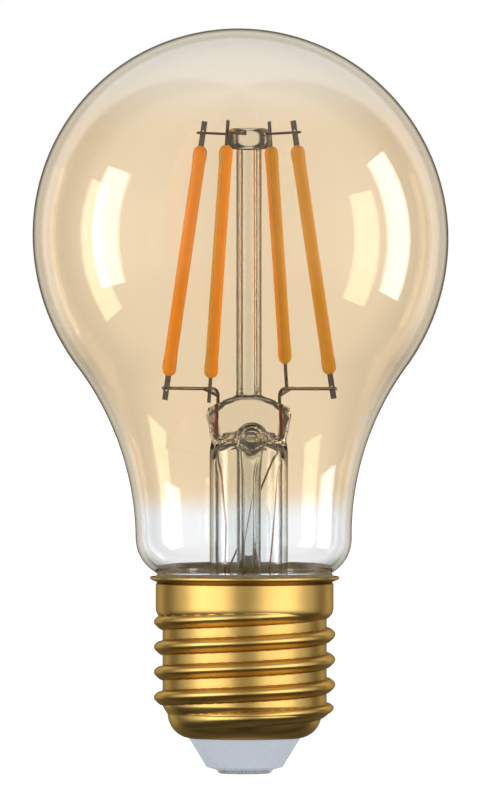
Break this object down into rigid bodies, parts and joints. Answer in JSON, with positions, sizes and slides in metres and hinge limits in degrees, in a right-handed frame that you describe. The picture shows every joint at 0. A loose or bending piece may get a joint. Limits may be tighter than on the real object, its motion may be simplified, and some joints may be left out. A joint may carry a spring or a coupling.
{
  "type": "smart light bulb",
  "caption": "Pear-shaped amber glass filament lamp on a gold screw cap, with slanted LED filaments on a glass stem and a wireless driver hidden in the cap.",
  "frame": {"origin": "centre of the end contact's flat lower face", "axes": "+Z along the cap's axis towards the glass crown; +X to the right and -Y towards the viewer of the front, where the button's wires, the slanted filaments and the stem's vent hole face"},
  "size_m": [0.06, 0.06, 0.1075],
  "materials": {
    "amber_glass": "clear soda glass with an amber coating that fades out at the neck",
    "stem_glass": "clear lead-free stem glass",
    "amber_phosphor": "orange phosphor in silicone",
    "gold_phosphor": "golden phosphor in silicone",
    "ceramic_strip": "grey-white ceramic",
    "led_die": "bare LED dies",
    "tab_steel": "dull dark nickel-plated strip",
    "nickel_wire": "oxidised nickel-plated iron wire",
    "dumet_wire": "dark red copper-clad wire sealed in glass",
    "copper_wire": "copper wire",
    "gold_cap": "satin gold plating with a fine sandy grain",
    "cap_insulator": "pale blue-grey glassy insulator",
    "contact_metal": "tinned contact",
    "solder": "tin solder",
    "cement": "tan basing cement, matt",
    "tinned_wire": "tinned copper wire",
    "circuit_board": "green solder mask on glass laminate",
    "capacitor_sleeve": "printed-free black sleeve",
    "ferrite": "dark ferrite",
    "capacitor_box": "yellow moulded box",
    "resistor_body": "flameproof lacquer",
    "shield_can": "tin-plated can",
    "chip_package": "black moulded packages",
    "sleeve_plastic": "white insulating sleeve"
  },
  "bodies": {
    "root": {"antenna_wire": "copper_wire", "back_amber_coating": "amber_phosphor", "back_end_tabs": "tab_steel", "back_filament_chips": "led_die", "back_filament_strip": "ceramic_strip", "back_gold_coating": "gold_phosphor", "back_top_wire": "nickel_wire", "basing_cement": "cement", "bridge_rectifier": "chip_package", "centre_contact": "contact_metal", "contact_solder": "solder", "driver_board": "circuit_board", "driver_chip": "chip_package", "electrolytic_capacitor": "capacitor_sleeve", "exhaust_tube": "stem_glass", "film_capacitor": "capacitor_box", "front_amber_coating": "amber_phosphor", "front_end_tabs": "tab_steel", "front_filament_chips": "led_die", "front_filament_strip": "ceramic_strip", "front_gold_coating": "gold_phosphor", "front_top_wire": "nickel_wire", "fusible_resistor": "resistor_body", "glass_envelope": "amber_glass", "inductor_core": "ferrite", "inductor_winding": "copper_wire", "insulating_sleeve": "sleeve_plastic", "insulator": "cap_insulator", "left_amber_coating": "amber_phosphor", "left_cross_arm": "nickel_wire", "left_end_tabs": "tab_steel", "left_filament_chips": "led_die", "left_filament_strip": "ceramic_strip", "left_gold_coating": "gold_phosphor", "left_lead_wire": "nickel_wire", "left_outer_lead": "copper_wire", "left_seal_wire": "dumet_wire", "left_top_wire": "nickel_wire", "live_wire": "tinned_wire", "neutral_wire": "tinned_wire", "post_button": "stem_glass", "radio_board": "circuit_board", "radio_shield": "shield_can", "right_amber_coating": "amber_phosphor", "right_cross_arm": "nickel_wire", "right_end_tabs": "tab_steel", "right_filament_chips": "led_die", "right_filament_strip": "ceramic_strip", "right_gold_coating": "gold_phosphor", "right_lead_wire": "nickel_wire", "right_outer_lead": "copper_wire", "right_seal_wire": "dumet_wire", "right_top_wire": "nickel_wire", "screw_shell": "gold_cap", "small_chips": "chip_package", "stem_flare": "stem_glass", "support_post": "stem_glass"}
  },
  "joints": []
}
